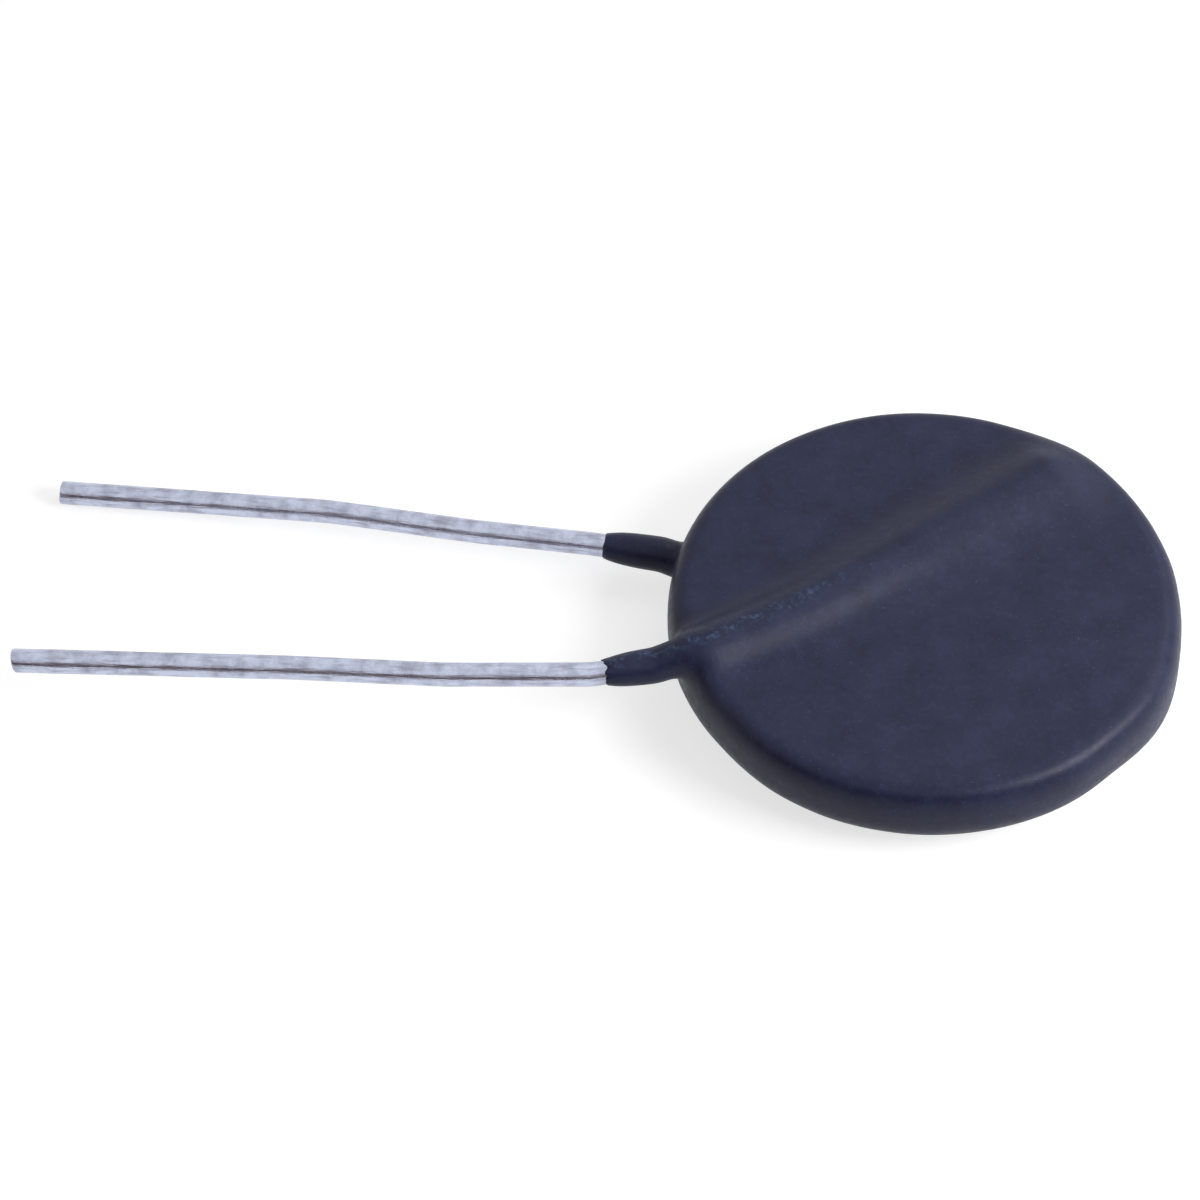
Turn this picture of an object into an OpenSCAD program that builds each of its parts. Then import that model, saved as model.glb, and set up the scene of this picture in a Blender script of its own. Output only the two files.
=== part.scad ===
// Disc thermistor with two soldered wires under one coat of dipped resin. The disc's middle is at x = 0,
// y = 0 while the sub-parts are drawn; place() then sets the part on its back. Each side, front and back,
// is described in its own frame, with that side up, its wire leaving toward -X and its ridge climbing
// toward +X +Y. The back's frame is the front's turned half a turn about X.

/* [Coated disc] */
// diameter over the resin
coated_d = 21.5; // [20.5:0.25:23.5]
// thickness over the resin, away from the wires
coated_t = 3.0; // [2.8:0.1:3.6]
// width of the rounded edge of the resin
rim_width = 1.0; // [0.8:0.1:1.4]
// fullness of the rounded edge, where 2 is an ellipse and more is squarer
rim_fullness = 2.6; // [2:0.1:4]

/* [Ceramic and electrodes] */
// resin around the ceramic's edge
edge_resin = 0.75; // [0.6:0.05:1]
// thickness of the ceramic disc
ceramic_t = 2.0; // [1.6:0.1:2.2]
// chamfer on the ceramic's edges
ceramic_chamfer = 0.15; // [0.1:0.05:0.25]
// bare ceramic left between each electrode and the edge
electrode_margin = 0.7; // [0.5:0.1:1.2]
// thickness of each fired silver electrode
electrode_t = 0.03; // [0.02:0.01:0.05]

/* [Wires] */
// diameter of the tinned copper wire
lead_d = 1.0; // [0.8:0.05:1.1]
// solder left between a wire and its electrode
solder_film = 0.05; // [0.04:0.01:0.08]
// radius of the solder bead that the wire lies in
bead_r = 0.95; // [0.85:0.05:1.05]
// height of each wire's centre over the disc's middle plane, where it leaves the disc
leg_height = 1.0; // [0.9:0.05:1.1]
// distance from the disc's middle to where the wire ends on the disc
inner_reach = 8.2; // [7.5:0.1:8.6]
// distance of the front wire from the disc's middle line, where its sleeve ends
front_leg_y = 3.72; // [3.4:0.1:4.6]
// distance of the back wire from the disc's middle line, where its sleeve ends
back_leg_y = 4.87; // [4.2:0.1:5.2]
// angle at which the front wire's leg turns in toward the disc's middle
front_toe = 10.4; // [7:0.1:13]
// angle at which the back wire's leg turns in toward the disc's middle
back_toe = 11.3; // [8:0.1:13]
// length of the first straight part of each wire on the disc
first_run = 4.7; // [4:0.1:6]
// angle of the front wire's first part on the disc
front_run_a = 28.0; // [24:0.5:32]
// angle of the front wire's second part on the disc
front_run_b = 34.5; // [31:0.5:38]
// angle of the back wire's first part on the disc
back_run_a = 25.4; // [21:0.2:26]
// angle of the back wire's second part on the disc
back_run_b = 25.4; // [21:0.2:26]

/* [Free length of the wires] */
// distance from the disc's middle to the front wire's tip
front_reach = 37.8; // [35:0.1:45]
// distance from the disc's middle to the back wire's tip
back_reach = 36.8; // [35:0.1:45]
// where the front wire bends, as distances past its sleeve's end
front_kink_at = [0.6, 6.65, 12.95]; // [0.5:0.05:16]
// angles of the front wire's parts after those bends
front_kink = [0, 3.4, 1.9]; // [-4:0.1:6]
// where the back wire bends, as distances past its sleeve's end
back_kink_at = [0.6, 5.45, 11.85]; // [0.5:0.05:16]
// angles of the back wire's parts after those bends
back_kink = [-9.9, -12.2, -7.4]; // [-14:0.1:0]
// radius of the sharper bends near the disc
tight_bend_r = 1.5; // [1.2:0.1:1.6]
// radius of the gentle bends in the free length
long_bend_r = 14; // [8:1:20]

/* [Resin over the wires] */
// resin over a wire at the crest of its ridge
crest_resin = 0.38; // [0.3:0.02:0.5]
// how much thinner that is halfway along the ridge
crest_dip = 0.04; // [0:0.01:0.06]
// width of the web between the ridge and the disc, near the leg
ridge_web = 1.1; // [1:0.05:1.5]
// width of that web at the wire's end
ridge_web_end = 2.3; // [1.6:0.1:2.6]
// distance from the disc's middle line to the end of each sleeve
sleeve_reach = 13.36; // [13.1:0.02:13.6]
// resin around the wire where the sleeve leaves the disc
sleeve_resin = 0.26; // [0.2:0.02:0.3]
// resin around the wire at the sleeve's feathered end
feather_resin = 0.04; // [0.03:0.01:0.08]
// length over which the sleeve thins to its end
feather_length = 0.75; // [0.4:0.05:1]
// width of the web between a sleeve and the disc's edge
root_web = 0.8; // [0.6:0.05:1.1]
// radius of the outline's fillets between a sleeve and the disc
root_fillet = 0.5; // [0.4:0.05:0.7]

/* [Hidden] */
$fn = 96;
FRONT = 0;
BACK = 1;
coated_r = coated_d / 2;
ceramic_r = coated_r - edge_resin;
electrode_r = ceramic_r - electrode_margin;
solder_z = ceramic_t / 2 + electrode_t;
wire_z = solder_z + solder_film + lead_d / 2;
crest_z = wire_z + lead_d / 2 + crest_resin;
settle = ceramic_r - 0.4;          // radius where a wire turns on to the disc's face
lift_off = ceramic_r + 0.2;        // radius where it starts down toward its leg
level_again = coated_r + 1.0;      // radius where it is down and straight again
collar_l = 0.05;                   // half length of the collars that join a bar's arcs to its straights
collar_proud = 0.002;              // how far a collar stands out

function smooth(x) = let (t = min(1, max(0, x))) t * t * (3 - 2 * t);
function unit(v) = v / norm(v);
function mix(a, b, t) = a + (b - a) * t;
function lift(p, z) = [p.x, p.y, z];
function flat(p) = [p.x, p.y];

// ---------------------------------------------------------------- the wires' way points, in their sides' frames
leg_y = [front_leg_y, back_leg_y];
toe = [front_toe, back_toe];
run_a = [front_run_a, back_run_a];
run_b = [front_run_b, back_run_b];
reach = [front_reach, back_reach];
kink_at = [front_kink_at, back_kink_at];
function kink_x(s, i) = sleeve_reach + kink_at[s][i];
kink = [front_kink, back_kink];
tip_z = [leg_height, crest_z - lead_d / 2];

// A leg's line: the way out along it, its nearest point to the middle, and the point on it at radius r.
function leg_dir(s) = [-cos(toe[s]), -sin(toe[s])];
function leg_foot(s) = let (p = [-sleeve_reach, -leg_y[s]], a = leg_dir(s)) p - a * (p * a);
function on_leg(s, r) = leg_foot(s) + leg_dir(s) * sqrt(r * r - leg_foot(s) * leg_foot(s));
// The point where a line from p along angle a comes to radius r.
function on_ring(p, a, r) = let (d = [cos(a), sin(a)], b = p * d) p + d * (sqrt(b * b - p * p + r * r) - b);
// The point where a line from p, at angle a to -X, comes to distance x from the middle.
function run_out(p, a, x) = p + [-1, tan(a)] * (x + p.x);

function first_turn(s) = on_leg(s, settle) + first_run * [cos(run_a[s]), sin(run_a[s])];
function leg_bend(s) = leg_foot(s) + leg_dir(s) * ((leg_foot(s).x + kink_x(s, 0)) / cos(toe[s]));
function free_b(s) = run_out(leg_bend(s), kink[s][0], kink_x(s, 1));
function free_c(s) = run_out(free_b(s), kink[s][1], kink_x(s, 2));
function free_tip(s) = run_out(free_c(s), kink[s][2], reach[s]);
function droop(s, p) = mix(leg_height, tip_z[s], (-p.x - kink_x(s, 0)) / (reach[s] - kink_x(s, 0)));

function way(s) = [
    lift(on_ring(first_turn(s), run_b[s], inner_reach), wire_z),
    lift(first_turn(s), wire_z),
    lift(on_leg(s, settle), wire_z),
    lift(on_leg(s, lift_off), wire_z),
    lift(on_leg(s, level_again), leg_height),
    lift(leg_bend(s), leg_height),
    lift(free_b(s), droop(s, free_b(s))),
    lift(free_c(s), droop(s, free_c(s))),
    lift(free_tip(s), tip_z[s])
];
bends = [0, long_bend_r, tight_bend_r, tight_bend_r, tight_bend_r, 4, long_bend_r, long_bend_r, 0];

// A round bar of diameter d through way points, with a true arc of the given radius at each bend.
function turn_at(p, i) = acos(min(1, unit(p[i] - p[i - 1]) * unit(p[i + 1] - p[i])));
function trim_at(p, r, i) = i == 0 || i == len(p) - 1 ? 0 : r[i] * tan(turn_at(p, i) / 2);

module straight(a, b, d) {
    v = b - a;
    translate(a) rotate([0, acos(v.z / norm(v)), atan2(v.y, v.x)]) cylinder(d = d, h = norm(v));
}

module corner(p, r, i, d) {
    a = unit(p[i] - p[i - 1]);
    b = unit(p[i + 1] - p[i]);
    start = p[i] - a * trim_at(p, r, i);
    middle = p[i] + unit(b - a) * r[i] / cos(turn_at(p, i) / 2);
    x = unit(start - middle);
    z = cross(x, a);
    multmatrix([[x.x, a.x, z.x, middle.x], [x.y, a.y, z.y, middle.y],
        [x.z, a.z, z.z, middle.z], [0, 0, 0, 1]])
        rotate_extrude(angle = turn_at(p, i), $fn = 360) translate([r[i], 0]) circle(d = d, $fn = 96);
}

// Where an arc meets a straight they share a collar, which stands a hair proud and holds the two together.
module collar(at, v, d) {
    straight(at - v * collar_l, at + v * collar_l, d + 2 * collar_proud);
}

module bar(p, r, d) {
    for (i = [0 : len(p) - 2]) {
        v = unit(p[i + 1] - p[i]);
        straight(p[i] + v * trim_at(p, r, i), p[i + 1] - v * trim_at(p, r, i + 1), d);
    }
    for (i = [1 : len(p) - 2]) {
        a = unit(p[i] - p[i - 1]);
        b = unit(p[i + 1] - p[i]);
        collar(p[i] - a * trim_at(p, r, i), a, d);
        if (turn_at(p, i) > 0.01) {
            corner(p, r, i, d);
            collar(p[i] + b * trim_at(p, r, i), b, d);
        }
    }
}

module lead(s) {
    bar(way(s), bends, lead_d);
}

// The stretch of a wire that lies in the resin, run on past the sleeve's end.
module buried_lead(s) {
    w = way(s);
    past = w[5] + unit(w[4] - w[5]) * (trim_at(w, bends, 5) + collar_l);
    bar([w[0], w[1], w[2], w[3], w[4], past], bends, lead_d);
}

// ---------------------------------------------------------------- what the resin covers
module ceramic() {
    h = ceramic_t / 2;
    c = ceramic_chamfer;
    rotate_extrude() polygon([[0, -h], [ceramic_r - c, -h], [ceramic_r, c - h], [ceramic_r, h - c],
        [ceramic_r - c, h], [0, h]]);
}

module electrode() {
    translate([0, 0, ceramic_t / 2]) cylinder(r = electrode_r, h = electrode_t);
}

// Solder wets the electrode beside the wire: a half-round bead, flat on the electrode, with round ends.
module bead(s) {
    w = way(s);
    p = [for (i = [0 : 2]) lift(w[i], solder_z)];
    inner = p[0] + unit(p[1] - p[0]) * 0.4;
    outer = p[2] - unit(p[2] - p[1]) * 1.1;
    path = [inner, p[1], outer];
    intersection() {
        union() {
            bar(path, [0, long_bend_r, 0], 2 * bead_r);
            translate(inner) sphere(r = bead_r + collar_proud);
            translate(outer) sphere(r = bead_r + collar_proud);
        }
        translate([0, 0, solder_z]) cylinder(r = electrode_r, h = 2 * bead_r);
    }
}

module solder(s) {
    difference() {
        bead(s);
        buried_lead(s);
    }
}

// ---------------------------------------------------------------- the resin as a field
// The resin is a field over space: below zero inside it, zero on its skin. The disc has one, and so has
// the bead of resin round each wire. blend() joins them with a smooth web, as the wet resin does, and
// each is near enough to a distance for the web's width to be a length.
function blend(a, b, web) = min(a, b) - pow(max(0, web - abs(a - b)), 2) / (4 * web);

function disc_field(p) =
    let (e = rim_fullness, a = max(0, norm(flat(p)) - coated_r + rim_width) / rim_width,
        b = abs(p.z) / (coated_t / 2), n = max(0.001, pow(pow(a, e) + pow(b, e), 1 / e)))
    (n - 1) / max(0.05, norm([pow(a / n, e - 1) / rim_width, pow(b / n, e - 1) / (coated_t / 2)]));

// A wire's route under the resin, from its sleeve's end to its inner end, as short straight parts, each
// [start, direction, length, distance of its start along the route]; then the distance at which it has
// settled on the disc's face, and its whole length.
function arc_points(p, r, i) =
    let (turn = turn_at(p, i), n = ceil(turn / 8))
    turn < 0.01 ? [p[i]]
    : let (a = unit(p[i] - p[i - 1]), b = unit(p[i + 1] - p[i]),
        middle = p[i] + unit(b - a) * r[i] / cos(turn / 2),
        start = p[i] - a * trim_at(p, r, i) - middle)
    [for (k = [0 : n]) middle + start * cos(turn * k / n) + a * r[i] * sin(turn * k / n)];
function parts_of(p) = [for (i = 0, s = 0; i < len(p) - 1; s = s + norm(p[i + 1] - p[i]), i = i + 1)
    [p[i], unit(p[i + 1] - p[i]), norm(p[i + 1] - p[i]), s]];
function route(s, up) =
    let (w = way(s), end = lift([-sleeve_reach, -leg_y[s]], leg_height),
        p = [end, w[4], w[3], w[2], w[1], w[0]],
        r = [0, bends[4], bends[3], bends[2], bends[1], 0],
        points = [end, for (i = [1 : 4]) each arc_points(p, r, i), w[0]],
        parts = parts_of([for (v = points) up ? v : [v.x, -v.y, -v.z]]), last = parts[len(parts) - 1])
    [parts, norm(end - w[4]) + norm(w[4] - w[3]) + norm(w[3] - w[2]), last[3] + last[2]];

// The nearest place on a route to a point, as [distance to it, distance along, its distance from the
// middle].
function nearest(parts, p) =
    let (hits = [for (g = parts) let (u = min(g[2], max(0, (p - g[0]) * g[1])), q = g[0] + g[1] * u)
            [norm(p - q), g[3] + u, norm(flat(q))]],
        d = min([for (h = hits) h[0]]))
    [for (h = hits) if (h[0] == d) h][0];

// The radius of the resin round a wire, and the width of the web that joins it to the disc, at distance s
// along its route and r from the disc's middle. It thickens from the sleeve's feathered end and again on
// to the disc, where the web widens toward the wire's inner end; a wide web adds to the crest, so the
// radius gives that back.
function resin_at(wire, s, r) =
    let (on = smooth((coated_r + ridge_onset - r) / (coated_r + ridge_onset - settle)),
        f = max(0, (s - wire[1]) / (wire[2] - wire[1])), h = crest_z - coated_t / 2,
        web = mix(root_web, mix(ridge_web, ridge_web_end, f), on),
        sunk = web > h ? pow(sqrt(web) - sqrt(h), 2) : 0)
    [sleeve_r(s) + on * (crest_resin - sleeve_resin - sunk - crest_dip * 4 * f * (1 - f)), web];

function with_wire(field, p, wire) =
    let (hit = nearest(wire[0], p), at = resin_at(wire, hit[1], hit[2])) blend(field, hit[0] - at[0], at[1]);
function resin_field(p, wires) = with_wire(with_wire(disc_field(p), p, wires[0]), p, wires[1]);

// Where a ray from o along v leaves the resin: the field's zero, closed in on from both sides by false
// position.
function leave(o, v, wires) =
    close_in(o, v, wires, 0, ray, resin_field(o, wires), resin_field(o + v * ray, wires), 0, 14);
function close_in(o, v, wires, a, b, fa, fb, last, left) =
    let (t = b - fb * (b - a) / (fb - fa), f = resin_field(o + v * t, wires))
    left == 0 || abs(f) < 0.0001 ? o + v * t
    : f < 0 ? close_in(o, v, wires, t, b, f, last < 0 ? fb / 2 : fb, -1, left - 1)
    : close_in(o, v, wires, a, t, last > 0 ? fa / 2 : fa, f, 1, left - 1);

// ---------------------------------------------------------------- the resin's skin
// The skin is found by rays from a core inside the resin. The rays stand in columns. Each column starts
// with rays that fan up round the edge, from level to upright, and goes on with upright rays to a point
// on a wire's line, so the crest of each ridge is an edge of the mesh. On a sleeve the fan is the whole
// column. Around the outline there are the legs' stations, the fillets at their roots and the two arcs of
// the rim.
ray = 4;           // length of a ray, well past the skin
ridge_onset = 0.4; // how far outside the disc's edge the resin starts to thicken into the ridge
stations = 7;      // steps along each sleeve
fillets = 4;       // columns inside each fillet
rim_steps = 88;    // steps along the long arc of the rim
gap_steps = 14;    // steps along the short arc, between the legs
edge_rows = 6;     // rays in the fan round the edge
rows = 16;         // rays in a column
root = stations + fillets;         // the last point on a line that belongs to its leg
branch = root + 7;                 // where the other leg's line joins the ridge's
crossing = 6;                      // steps from over the disc's edge, by the other leg, to that join
nodes = branch + 19;               // the ridge's last point
other = nodes + 1;                 // the first point on the other leg's line
join = other + root + crossing;    // the join, numbered along the other leg's line
flank = 3.2;                       // width of the band beside the line in which the rays are evenly spaced
fan = 14;                          // half angle over which the rim's columns share that last node

function sleeve_r(u) =
    lead_d / 2 + feather_resin + (sleeve_resin - feather_resin) * (1 - exp(-u / feather_length));

// A leg as seen in the frame of the side that is up: its foot, its way out and its height's sign.
function leg_of(s, own) = own ? [leg_foot(s), leg_dir(s), 1]
    : [[leg_foot(s).x, -leg_foot(s).y], [leg_dir(s).x, -leg_dir(s).y], -1];
function side_of(leg) = [-leg[1].y, leg[1].x];
function axis_at(leg, t) = leg[0] + leg[1] * t;
// The centre of the outline's fillet on one side (1 or -1) of a leg, outside both the disc and the sleeve.
function fillet_mid(leg, e) =
    let (n = side_of(leg) * e, across = leg[0] * n + sleeve_w + root_fillet, out = coated_r + root_fillet)
    n * across + leg[1] * sqrt(out * out - across * across);
function root_t(leg) = max(fillet_mid(leg, 1) * leg[1], fillet_mid(leg, -1) * leg[1]);
function tip_t(leg) = (-sleeve_reach - leg[0].x) / leg[1].x;
function station_t(leg, j) = mix(tip_t(leg), root_t(leg), pow(j / stations, 0.85));
// The wire's height over the middle plane at distance t along its leg.
function wire_h(leg, t) =
    let (f = (norm(axis_at(leg, t)) - lift_off) / (level_again - lift_off))
    leg[2] * mix(wire_z, leg_height, max(0, min(1, f)));
sleeve_w = lead_d / 2 + sleeve_resin;
over_edge = rim_width + root_fillet + 0.25;   // length of a leg's line that runs in over the disc's edge

// How much the point or column number j past a leg's root is still the leg's, and the core's height there.
function share_at(j) = 1 - smooth(j / (fillets + 1));
function root_h(leg, j) = share_at(j) * wire_h(leg, root_t(leg));

// A column is [the core's point nearest the outline, the way in, how much the column is a leg's].
function leg_column(leg, e, j) = let (t = station_t(leg, j))
    [lift(axis_at(leg, t), wire_h(leg, t)), -side_of(leg) * e, 1];
function fillet_column(leg, e, j) =
    let (m = fillet_mid(leg, e), v = unit(mix(-side_of(leg) * e, -unit(m), j / (fillets + 1))),
        turn = -v * side_of(leg) * e,
        room = min(rim_width, (sleeve_w + root_fillet * (1 - turn)) / max(0.1, turn)))
    [lift(m + v * (root_fillet + room), root_h(leg, j)), v, share_at(j)];
function rim_column(a) = let (v = [cos(a), sin(a)]) [lift(v * (coated_r - rim_width), 0), -v, 0];
function fillet_azimuth(leg, e) = let (m = fillet_mid(leg, e)) atan2(m.y, m.x);

function columns(s) =
    let (me = leg_of(s, true), it = leg_of(1 - s, false),
        a0 = fillet_azimuth(me, 1), a1 = fillet_azimuth(it, -1),
        a2 = fillet_azimuth(it, 1), a3 = fillet_azimuth(me, -1) + 360)
    [
        for (j = [0 : stations]) leg_column(me, 1, j),
        for (j = [1 : fillets]) fillet_column(me, 1, j),
        for (i = [0 : rim_steps]) rim_column(mix(a0, a1, i / rim_steps)),
        for (j = [fillets : -1 : 1]) fillet_column(it, -1, j),
        for (j = [stations : -1 : 0]) leg_column(it, -1, j),
        for (j = [0 : stations]) leg_column(it, 1, j),
        for (j = [1 : fillets]) fillet_column(it, 1, j),
        for (i = [0 : gap_steps]) rim_column(mix(a2, a3, i / gap_steps)),
        for (j = [fillets : -1 : 1]) fillet_column(me, -1, j),
        for (j = [stations : -1 : 0]) leg_column(me, -1, j)
    ];
count = 4 * (stations + 1) + 4 * fillets + rim_steps + gap_steps + 2;
half_way = 2 * stations + 2 * fillets + rim_steps + 2;   // the other leg's tip, on the side reached first

// The ridge's line in plan, from the root of the leg to the wire's end, and a point at distance u along it.
function ridge(s) = let (w = way(s), leg = leg_of(s, true))
    [axis_at(leg, root_t(leg)), flat(w[3]), flat(w[2]), flat(w[1]), flat(w[0])];
function span(p, i = 0) = i >= len(p) - 1 ? 0 : norm(p[i + 1] - p[i]) + span(p, i + 1);
function along(p, u, i = 0) = let (l = norm(p[i + 1] - p[i]))
    u <= l || i == len(p) - 2 ? mix(p[i], p[i + 1], u / l) : along(p, u - l, i + 1);

// The core's points under the wires' lines, at which columns end, numbered from the sleeve's end to the
// wire's end, then on from the other sleeve's end along that leg, down over the disc's edge and across to
// the ridge.
function line_points(s) =
    let (me = leg_of(s, true), it = leg_of(1 - s, false), p = ridge(s), l = span(p),
        meet = along(p, l * (branch - stations) / (nodes - stations)), t = root_t(it),
        start = axis_at(it, t - over_edge))
    [
        for (j = [0 : stations]) let (u = station_t(me, j)) lift(axis_at(me, u), wire_h(me, u)),
        for (j = [stations + 1 : nodes])
            lift(along(p, l * (j - stations) / (nodes - stations)), root_h(me, j - stations)),
        for (j = [0 : stations]) let (u = station_t(it, j)) lift(axis_at(it, u), wire_h(it, u)),
        for (j = [1 : fillets]) lift(axis_at(it, t - over_edge * j / fillets), root_h(it, j)),
        for (j = [1 : crossing]) lift(mix(start, meet, 1 - pow(1 - j / crossing, 1.3)), 0)
    ];
// A number between two points is a place between them.
function place_on(line, u) = let (i = floor(u)) flat(u == i ? line[i] : mix(line[i], line[i + 1], u - i));
function point_id(u) = round(u) == join ? branch : round(u);

// Where on that line each column ends. The rim's columns sweep along the ridge to its end, back to the
// join and on to the other leg; those between the legs go from the other leg to the join and back to this
// one.
function sweep(a, from, turn, to) =
    let (back = nodes - branch + crossing, u = (a - turn - fan) / (to - turn - fan) * (back - 0.5))
    a <= turn - fan ? mix(root + 0.5, nodes, (a - from) / (turn - fan - from))
    : a < turn + fan ? nodes
    : u < nodes - branch ? round(nodes - u) : round(join - (u - nodes + branch));
function gap_sweep(f) = let (u = round(0.5 + f * (crossing + branch - root - 1)))
    u < crossing ? other + root + u : branch - (u - crossing);
function ends(s) =
    let (me = leg_of(s, true), it = leg_of(1 - s, false), e = way(s)[0], turn = atan2(e.y, e.x),
        a0 = fillet_azimuth(me, 1), a1 = fillet_azimuth(it, -1))
    [
        for (j = [0 : root]) j,
        for (i = [0 : rim_steps]) sweep(mix(a0, a1, i / rim_steps), a0, turn, a1),
        for (j = [root : -1 : 0]) other + j,
        for (j = [0 : root]) other + j,
        for (i = [0 : gap_steps]) gap_sweep(i / gap_steps),
        for (j = [root : -1 : 0]) j
    ];

// Ray k of a column, from the outline (0) toward the wire's line (rows), as [start, way]; m is the
// column's end.
function ray_of(c, m, k) =
    let (angle = mix(90 * min(1, k / edge_rows), 90 * k / rows, c[2]), q = flat(c[0]),
        u = min(1, (rows - k) / (rows - edge_rows)), even = min(1, flank / max(0.01, norm(q - m))))
    [lift(mix(m, q, mix(pow(u, 4), u, even)), c[0].z), lift(-c[1] * cos(angle), sin(angle))];

function skin_point(c, m, k, wires) = let (r = ray_of(c, m, k)) leave(r[0], r[1], wires);

module skin() {
    wires = [[route(FRONT, true), route(BACK, false)], [route(BACK, true), route(FRONT, false)]];
    cols = [columns(FRONT), columns(BACK)];
    lines = [line_points(FRONT), line_points(BACK)];
    at = [ends(FRONT), ends(BACK)];
    size = count * (rows - 1) + len(lines[0]);
    sides = [for (s = [FRONT, BACK]) [
        for (i = [0 : count - 1]) let (m = place_on(lines[s], at[s][i]))
            for (k = [1 : rows - 1]) skin_point(cols[s][i], m, k, wires[s]),
        for (m = lines[s]) leave(m, [0, 0, 1], wires[s])
    ]];
    points = [
        for (c = cols[FRONT]) skin_point(c, flat(c[0]), 0, wires[FRONT]),
        each sides[FRONT],
        for (v = sides[BACK]) [v.x, -v.y, -v.z]
    ];
    // the front's column i is the back's column (half_way - i), counted round
    function id(s, i, k) = let (j = s == FRONT ? i : (half_way - i + count) % count, first = count + s * size)
        k == 0 ? i : k == rows ? first + count * (rows - 1) + point_id(at[s][j])
        : first + j * (rows - 1) + k - 1;
    // each four-sided cell is cut along its shorter diagonal; one whose inner corners are the same is
    // a triangle
    function cell(a, b, c, d) = b == c ? [[a, b, d]]
        : norm(points[a] - points[c]) < norm(points[b] - points[d]) ? [[a, b, c], [a, c, d]]
        : [[a, b, d], [b, c, d]];
    polyhedron(points, [for (s = [FRONT, BACK]) for (i = [0 : count - 1]) let (j = (i + 1) % count)
        for (k = [0 : rows - 1]) for (f = cell(id(s, i, k), id(s, i, k + 1), id(s, j, k + 1), id(s, j, k)))
            s == FRONT ? f : [f[2], f[1], f[0]]]);
}

// ---------------------------------------------------------------- placing and the sub-parts
// The back's frame turned over; then the whole part lifted on to its back and centred on its outline.
module flip() {
    rotate([180, 0, 0]) children();
}

module side(s) {
    if (s == BACK) flip() children();
    else children();
}

function tip(s) = way(s)[len(way(s)) - 1];
function tip_dir(s) = unit(tip(s) - way(s)[len(way(s)) - 2]);
// The end of a wire is a disc square to it, so its lowest and outermost points stand off its centre.
min_x = min([for (s = [FRONT, BACK]) tip(s).x - lead_d / 2 * sqrt(1 - pow(tip_dir(s).x, 2))]);
middle_x = (coated_r + min_x) / 2;

module place() {
    translate([-middle_x, 0, crest_z]) children();
}

module resin_coating() {
    color("#34364a") place() difference() {
        skin();
        ceramic();
        for (s = [FRONT, BACK]) side(s) {
            electrode();
            bead(s);
            buried_lead(s);
        }
    }
}

module ceramic_disc() {
    color("#3c3b3d") place() ceramic();
}

module front_electrode() {
    color("#d9d6cf") place() side(FRONT) electrode();
}

module back_electrode() {
    color("#d9d6cf") place() side(BACK) electrode();
}

module front_solder() {
    color("#a9adb3") place() side(FRONT) solder(FRONT);
}

module back_solder() {
    color("#a9adb3") place() side(BACK) solder(BACK);
}

module front_lead() {
    color("#c3c8d4") place() side(FRONT) lead(FRONT);
}

module back_lead() {
    color("#c3c8d4") place() side(BACK) lead(BACK);
}

resin_coating();
ceramic_disc();
front_electrode();
back_electrode();
front_solder();
back_solder();
front_lead();
back_lead();
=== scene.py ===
# %% [markdown]
# # A dipped disc thermistor
# The object is a ceramic disc with a wire soldered across each face, dipped in epoxy resin. Its solids come
# from the CAD model, and this lesson dresses them. Two things show on the real one: the resin's skin, which
# climbs in a ridge over each buried wire, and the two bare tinned wires. Both are worked out here as surfaces
# with numpy.

# %% Load the frame
import bpy
import numpy as np
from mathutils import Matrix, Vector


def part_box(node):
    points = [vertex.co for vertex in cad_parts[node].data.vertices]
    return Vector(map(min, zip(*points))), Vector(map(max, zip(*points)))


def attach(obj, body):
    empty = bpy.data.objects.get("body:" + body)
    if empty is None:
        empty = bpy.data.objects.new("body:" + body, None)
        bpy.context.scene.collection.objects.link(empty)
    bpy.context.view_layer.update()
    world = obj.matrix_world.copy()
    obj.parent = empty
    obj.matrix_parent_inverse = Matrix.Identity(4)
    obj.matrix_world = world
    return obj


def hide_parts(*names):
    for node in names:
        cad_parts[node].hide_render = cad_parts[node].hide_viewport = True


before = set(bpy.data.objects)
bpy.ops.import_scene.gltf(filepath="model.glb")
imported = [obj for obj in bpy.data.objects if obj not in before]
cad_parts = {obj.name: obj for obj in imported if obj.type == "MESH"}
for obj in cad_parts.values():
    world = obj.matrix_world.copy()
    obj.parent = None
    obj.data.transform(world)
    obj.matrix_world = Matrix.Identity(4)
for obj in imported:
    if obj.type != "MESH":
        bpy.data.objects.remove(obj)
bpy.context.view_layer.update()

# %% [markdown]
# Colours are written as the hex values that a colour picker shows, which are sRGB. Blender's shaders work in
# linear light, so one function turns one into the other. A second function adds a node to a material with its
# settings and its links in one call, which keeps each material as short as a recipe.

# %% Colours and nodes
def linear(hex_code, alpha=1.0):
    """sRGB hex to linear light: c / 12.92 below 0.04045, else ((c + 0.055) / 1.055) ^ 2.4."""
    c = np.array([int(hex_code[i:i + 2], 16) for i in (1, 3, 5)]) / 255
    return (*np.where(c <= 0.04045, c / 12.92, ((c + 0.055) / 1.055) ** 2.4).tolist(), alpha)


def add(tree, kind, inputs=(), **settings):
    """One node: settings are its own choices, and inputs maps a socket to a value or a node's output."""
    new = tree.nodes.new("ShaderNode" + kind)
    for name, value in settings.items():
        setattr(new, name, value)
    for socket, value in dict(inputs).items():
        if isinstance(value, bpy.types.NodeSocket):
            tree.links.new(value, new.inputs[socket])
        else:
            new.inputs[socket].default_value = value
    return new


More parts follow.
